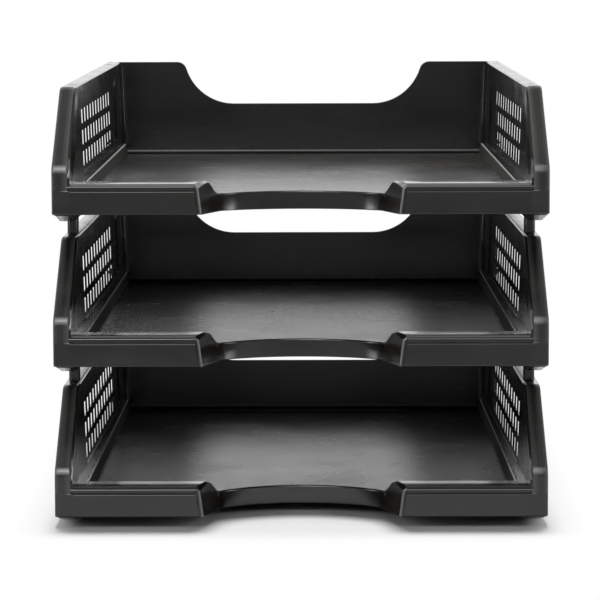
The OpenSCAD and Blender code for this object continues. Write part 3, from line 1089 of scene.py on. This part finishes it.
@dataclass
class Riser:
    """A chamfered square post with a peg at either end.

    Each ring, from the lower peg's tip to the post, holds its height over the tray, one on the
    post or nought on the peg, and how far it is drawn in. The upper end mirrors the lower one.
    """

    sizes: TraySizes = SIZES
    half: float = 2.9
    chamfer: float = 1.2
    peg_r: float = 1.8
    crispness: float = 60.0
    rings: tuple[Triple, ...] = (
        (-5.0, 0.0, 0.4), (-4.6, 0.0, 0.0), (0.0, 0.0, 0.0), (0.0, 1.0, 0.35), (0.12, 1.0, 0.12),
        (0.35, 1.0, 0.0))

    def shell(self, side: Side, y: float) -> Shell:
        """A grid of height and angle: the radius blends from the peg's circle to the post.

        The post's radius at an angle is the soft minimum of its eight sides' distances over the
        cosine from each side's direction, which rounds the edges between them.

        Args:
            side: side of the tray.
            y: place of the riser's axis.
        Returns: the riser on top of a tray.
        """
        s = self.sizes
        height, post, cut = np.array(self.rings).T[..., None]
        z = np.concatenate([s.height + height, s.pitch - height[::-1]])
        post, cut = (np.concatenate([lower, lower[::-1]]) for lower in (post, cut))
        turn = np.linspace(0.0, 2 * pi, 96, endpoint=False)
        sides = np.arange(8) * pi / 4
        reach = np.where(np.arange(8) % 2 == 0, self.half, (2 * self.half - self.chamfer) / sqrt(2))
        share = np.clip(np.cos(turn[:, None] - sides[None]), 0.0, None) / reach
        outline = (share ** self.crispness).sum(-1) ** (-1 / self.crispness)
        radius = post * outline + (1 - post) * self.peg_r - cut
        x, y = s.riser_spot(y)
        return Shell.loft(side_by_side(x + radius * np.cos(turn), y + radius * np.sin(turn), z)).on(side)


@dataclass
class Tray:
    """One tray of the stack with everything moulded on it."""

    tier: Tier
    workshop: Workshop

    def build(self) -> None:
        """Builds and dresses the tray's pieces in place of its CAD node."""
        under = Undercarriage()
        holes = under.turned(under.hole_z, under.hole_r)
        sockets = under.turned(under.socket_z, under.socket_r)
        for side in Side:
            tag = side.name.lower()
            self._add(f"rim_{tag}", SideRim().shell().on(side), Finish.RIM, holes.on(side))
            self._add(f"web_{tag}", SideWeb().shell().on(side), Finish.WEB)
            self._add(f"base_{tag}", SideBase().shell().on(side), Finish.LEDGE)
            self._add(f"lip_{tag}", FrontLip().shell().on(side), Finish.LIP)
            self._add(f"pads_{tag}", under.pads().on(side), Finish.SHELL, sockets.on(side))
            self._add(f"bosses_{tag}", under.bosses().on(side), Finish.SHELL, (holes + sockets).on(side))
        self._add("floor", Floor().shell(), Finish.FLOOR)
        self._add("recess", RecessBand().shell(), Finish.BAND)
        wall = BackWall()
        self._add("back_wall", wall.plate(), Finish.SHELL)
        self._add("back_corners", wall.corner().both(), Finish.SHELL)

    def _add(self, part: str, shell: Shell, finish: Finish, drills: Shell | None = None) -> None:
        """Args: part, shell, finish and drills of one piece of this tray."""
        label = self.tier.label
        node = f"{label}_tray"
        self.workshop.add(f"{label}_{part}", shell, self.tier, finish, node, "tray_plastic", drills)


@dataclass
class RiserSet:
    """The four risers that stand on one tray."""

    tier: Tier
    workshop: Workshop

    def build(self) -> None:
        """Builds the four risers, each in place of its own CAD node."""
        level = "lower" if self.tier is Tier.BOTTOM else "upper"
        for row, y in (("front", SIZES.riser_front), ("back", SIZES.riser_back)):
            for side in Side:
                node = f"{level}_riser_{row}_{side.name.lower()}"
                shell = Riser().shell(side, y)
                self.workshop.add(f"{node}_post", shell, self.tier, Finish.POST, node, "riser_plastic")


@dataclass(frozen=True)
class Studio:
    """Camera, lamps, pale floor and white surroundings, in metres and degrees."""

    eye: Triple = (0.0095, -1.8738, 0.3167)
    pitch: float = 6.614
    yaw: float = 0.332
    roll: float = -0.160
    lens: float = 201.4
    aim: Triple = (0.0, 0.0, 0.1)
    ambient: Pair = (0.02, 0.12)
    sky: Triple = (0.0, -0.98, 0.2)
    top: Triple = (2.3, 6.5, 6.0)
    front: float = 0.33
    near: float = 0.68
    footprint: Pair = (0.108, 0.1635)
    shadow: Pair = (0.006, 0.045)
    pale: Pair = (0.92, 0.96)
    reach: float = 30.0

    def camera(self) -> None:
        """Sets the camera up: turned about z by the yaw, tilted down by the pitch, then rolled."""
        data = bpy.data.cameras.new("camera")
        data.lens, data.sensor_width = self.lens, 36.0
        data.clip_start, data.clip_end = 0.05, 50.0
        turn = (Matrix.Rotation(radians(self.yaw), 4, "Z")
                @ Matrix.Rotation(radians(90 - self.pitch), 4, "X")
                @ Matrix.Rotation(radians(self.roll), 4, "Z"))
        bpy.context.scene.camera = self._hang(data, Matrix.Translation(self.eye) @ turn)

    @staticmethod
    def _hang(data: bpy.types.ID, matrix: Matrix) -> bpy.types.Object:
        """Puts a camera or a lamp into the scene.

        Args:
            data: the camera or lamp, whose name the object takes.
            matrix: its place and turn.
        Returns: the linked object.
        """
        thing = bpy.data.objects.new(data.name, data)
        thing.matrix_world = matrix
        bpy.context.scene.collection.objects.link(thing)
        return thing

    def lamp(self, name: str, place: Triple, size: Pair, power: float, diffuse: bool = False) -> None:
        """Hangs a soft lamp that faces the object and shows in its gloss.

        Args:
            name: name of the lamp.
            place: where it hangs, in metres.
            size: its two sides, in metres.
            power: its power in watts.
            diffuse: whether it lights matt surfaces too.
        """
        data = bpy.data.lights.new(name, "AREA")
        data.shape, data.size, data.size_y, data.energy = "RECTANGLE", size[0], size[1], power
        turn = (Vector(self.aim) - Vector(place)).to_track_quat("-Z", "Y").to_matrix().to_4x4()
        self._hang(data, Matrix.Translation(place) @ turn).visible_diffuse = diffuse

    def overhead(self) -> None:
        """Hangs the top light, which is far off, leans back a little and shows in no gloss."""
        power, lean, spread = self.top
        data = bpy.data.lights.new("overhead", "SUN")
        data.energy, data.angle = power, radians(spread)
        matrix = Matrix.Translation((0.0, 0.0, 2.0)) @ Matrix.Rotation(radians(-lean), 4, "X")
        self._hang(data, matrix).visible_glossy = False

    def surroundings(self) -> None:
        """Makes the world white to the camera, white behind and dimmer in front in reflections."""
        world = bpy.data.worlds.new("white_studio")
        bpy.context.scene.world = world
        world.use_nodes = True
        bench = NodeBench(world.node_tree)
        path = bench.add("LightPath").outputs
        direction = bench.add("TexCoord").outputs["Generated"]
        depth = bench.add("SeparateXYZ", {"Vector": direction}).outputs["Y"]
        mirrored = bench.ranged(depth, (-0.3, 0.7), (self.front, 1.0), smooth=True)
        ambient = bench.ranged(bench.vector("DOT_PRODUCT", direction, self.sky).outputs["Value"],
                               (0.0, 1.0), self.ambient)
        gloss = bench.math("MAXIMUM", path["Is Glossy Ray"], path["Is Transmission Ray"])
        shown = bench.mix(path["Is Camera Ray"], bench.mix(gloss, ambient, mirrored), 1.0)
        bench.fill(bench.tree.nodes["Background"], {"Color": (1.0, 1.0, 1.0, 1.0), "Strength": shown})

    def ground(self) -> None:
        """Lays the pale floor: real shadow close round the stack, a painted white glow over the shade
        further out.
        """
        mesh = bpy.data.meshes.new("ground")
        corners = np.array([(-1, -1, 0), (1, -1, 0), (1, 1, 0), (-1, 1, 0)]) * self.reach
        mesh.from_pydata(corners.tolist(), [], [(0, 1, 2, 3)])
        ground = bpy.data.objects.new("ground", mesh)
        bpy.context.scene.collection.objects.link(ground)
        material = bpy.data.materials.new("pale_ground")
        material.use_nodes = True
        bench = NodeBench(material.node_tree)
        shader = bench.tree.nodes["Principled BSDF"]
        path = bench.add("LightPath").outputs
        place = bench.add("TexCoord").outputs["Object"]
        tone = bench.ranged(bench.noise(place, 3.0), (0.0, 1.0), self.pale)
        bench.fill(shader, {"Base Color": tone, "Roughness": 0.9, "Specular IOR Level": 0.1})
        # Painted light: outside a box round the stack, narrower than the trays across, the floor glows full
        # white to the camera and dimmer towards the front in reflections, over the shade that falls there
        folded = bench.vector("ABSOLUTE", place).outputs["Vector"]
        beyond = bench.vector("SUBTRACT", folded, (*self.footprint, 0.0)).outputs["Vector"]
        outside = bench.vector("MAXIMUM", beyond, (0.0, 0.0, 0.0)).outputs["Vector"]
        painted_glow_share = bench.ranged(bench.vector("LENGTH", outside).outputs["Value"], self.shadow, smooth=True)
        seen = bench.math("MAXIMUM", path["Is Camera Ray"], path["Is Glossy Ray"])
        depth = bench.add("SeparateXYZ", {"Vector": place}).outputs["Y"]
        far = bench.ranged(depth, (-0.9, -0.25), (self.front, self.near))
        painted_glow = bench.add("Emission", {"Strength": bench.math("MAXIMUM", far, path["Is Camera Ray"])})
        mix = bench.add("MixShader", {"Fac": bench.math("MULTIPLY", painted_glow_share, seen), 1: shader.outputs["BSDF"],
                                      2: painted_glow.outputs["Emission"]})
        bench.fill(bench.tree.nodes["Material Output"], {"Surface": mix.outputs["Shader"]})
        mesh.materials.append(material)

    def build(self) -> None:
        """Sets the whole studio up."""
        bpy.context.scene.view_settings.view_transform = "Standard"
        self.camera()
        self.lamp("key", (-0.25, -1.25, 1.1), (0.55, 0.5), 4.0)
        self.lamp("key_veil", (-0.25, -1.27, 1.12), (1.5, 1.5), 14.0)
        self.lamp("left", (-1.5, -0.47, 0.42), (0.32, 0.9), 6.0, diffuse=True)
        self.lamp("right", (1.5, -0.47, 0.42), (0.32, 0.9), 6.0, diffuse=True)
        self.lamp("back", (0.0, 1.5, 0.5), (1.7, 0.8), 2.4)
        self.overhead()
        self.surroundings()
        self.ground()


def main() -> None:
    """Builds the trays, the risers and the studio, and reports each piece."""
    logging.basicConfig(level=logging.INFO, format="%(name)s %(message)s")
    workshop = Workshop()
    workshop.prepare()
    for tier in Tier:
        Tray(tier, workshop).build()
    for tier in (Tier.BOTTOM, Tier.MIDDLE):
        RiserSet(tier, workshop).build()
    Studio().build()
    LOG.info("%d pieces in place", workshop.count)


if __name__ == "__main__":
    main()
